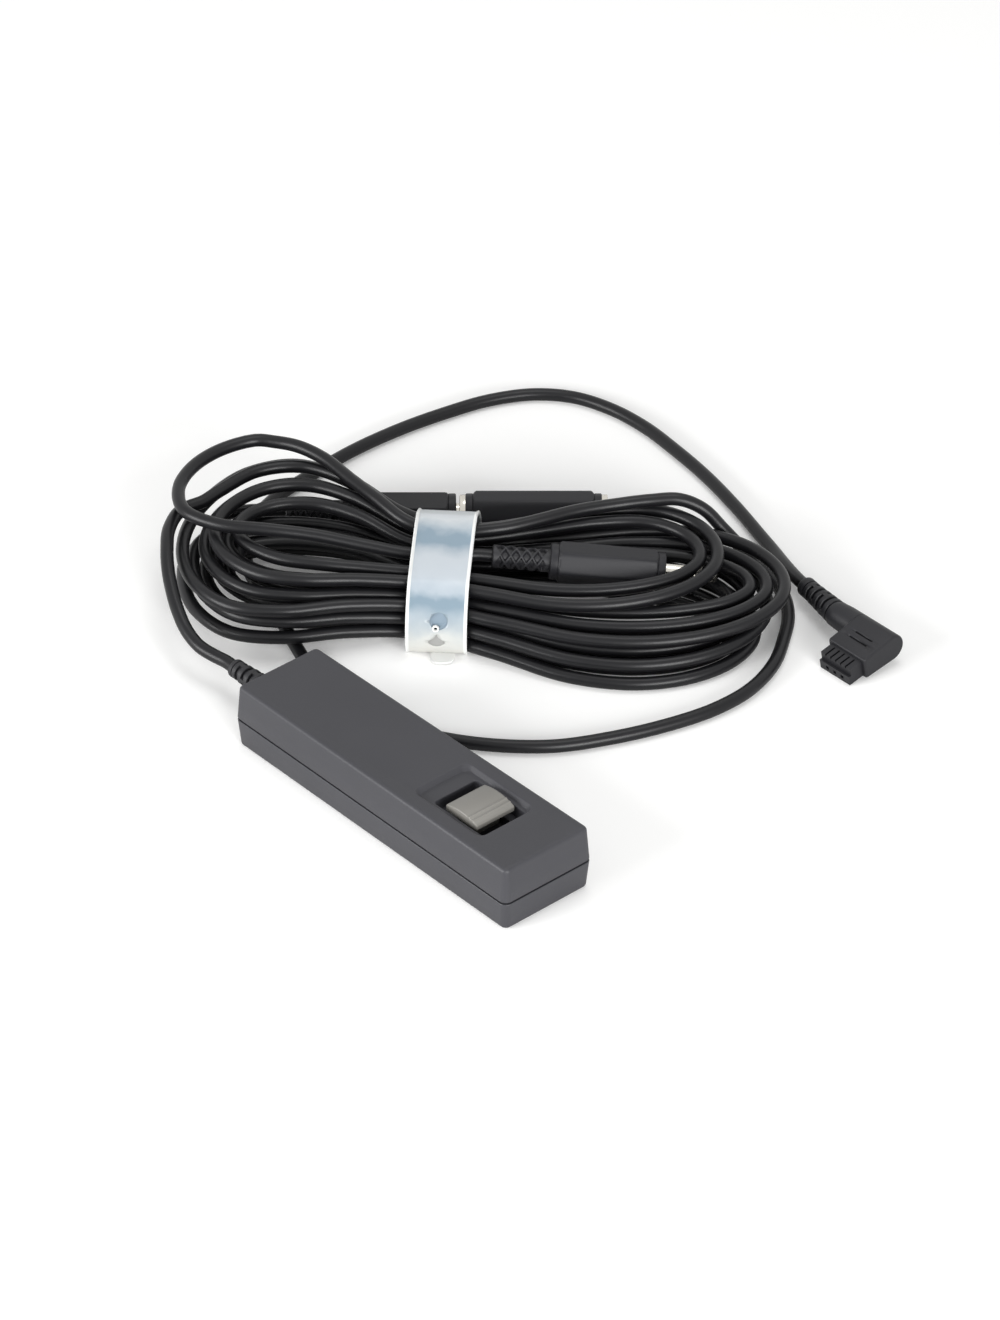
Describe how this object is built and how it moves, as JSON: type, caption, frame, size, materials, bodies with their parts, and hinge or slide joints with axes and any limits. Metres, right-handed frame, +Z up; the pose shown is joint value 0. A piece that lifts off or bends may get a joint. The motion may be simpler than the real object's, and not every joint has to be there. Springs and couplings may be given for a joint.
{
  "type": "cable shutter release",
  "caption": "Wired remote shutter release: slim handset with a pressing and locking button, long cord in a strapped hank, in-line coupler and side-entry camera plug.",
  "frame": {"origin": "middle of the underside of the handset", "axes": "+X from the cord end of the handset to its free end, +Z up, +Y across the handset towards the hank"},
  "size_m": [0.1797, 0.171, 0.0239],
  "materials": {
    "shell_plastic": "fine moulded texture, satin",
    "button_plastic": "smooth satin",
    "plug_plastic": "fine moulded texture, satin",
    "relief_rubber": "moulded, satin",
    "cord_sheath": "smooth extruded sheath, satin",
    "strap_plastic": "milky, translucent",
    "nickel": "bright nickel plate",
    "bronze": "rolled strip",
    "insulator": "laminated board",
    "wire_sheath": "thin coloured sheath"
  },
  "bodies": {
    "root": {"upper_shell": "shell_plastic", "lower_shell": "shell_plastic", "shell_screws": "nickel", "handset_relief": "relief_rubber", "common_leaf": "bronze", "half_leaf": "bronze", "full_leaf": "bronze", "contact_block": "insulator", "contact_insulators": "insulator", "contact_rivets": "nickel", "inner_wires": "wire_sheath", "sheath_end": "cord_sheath", "handset_lead": "cord_sheath", "cord_hank": "cord_sheath", "plug_lead": "cord_sheath", "camera_lead": "cord_sheath", "hank_strap": "strap_plastic", "seated_plug_relief": "relief_rubber", "seated_plug_body": "plug_plastic", "seated_plug_sleeve": "nickel", "seated_plug_insulators": "plug_plastic", "seated_plug_ring": "nickel", "seated_plug_tip": "nickel", "coupler_body": "plug_plastic", "coupler_flanges": "nickel", "coupler_clips": "bronze", "free_plug_relief": "relief_rubber", "free_plug_body": "plug_plastic", "free_plug_sleeve": "nickel", "free_plug_insulators": "plug_plastic", "free_plug_ring": "nickel", "free_plug_tip": "nickel", "camera_plug_body": "plug_plastic", "camera_plug_nose": "plug_plastic", "camera_plug_contacts": "bronze"},
    "slider": {"lock_slider": "plug_plastic"},
    "button": {"release_button": "button_plastic"}
  },
  "joints": [
    {"name": "lock_slide", "type": "slide", "parent": "root", "child": "slider", "axis": [1, 0, 0], "range_m": [0, 0.003]},
    {"name": "button_press", "type": "slide", "parent": "slider", "child": "button", "axis": [0, 0, -1], "range_m": [0, 0.0018], "stiffness_N_per_m": 600, "springref_m": -0.0004, "deforming": ["common_leaf", "half_leaf"]}
  ]
}
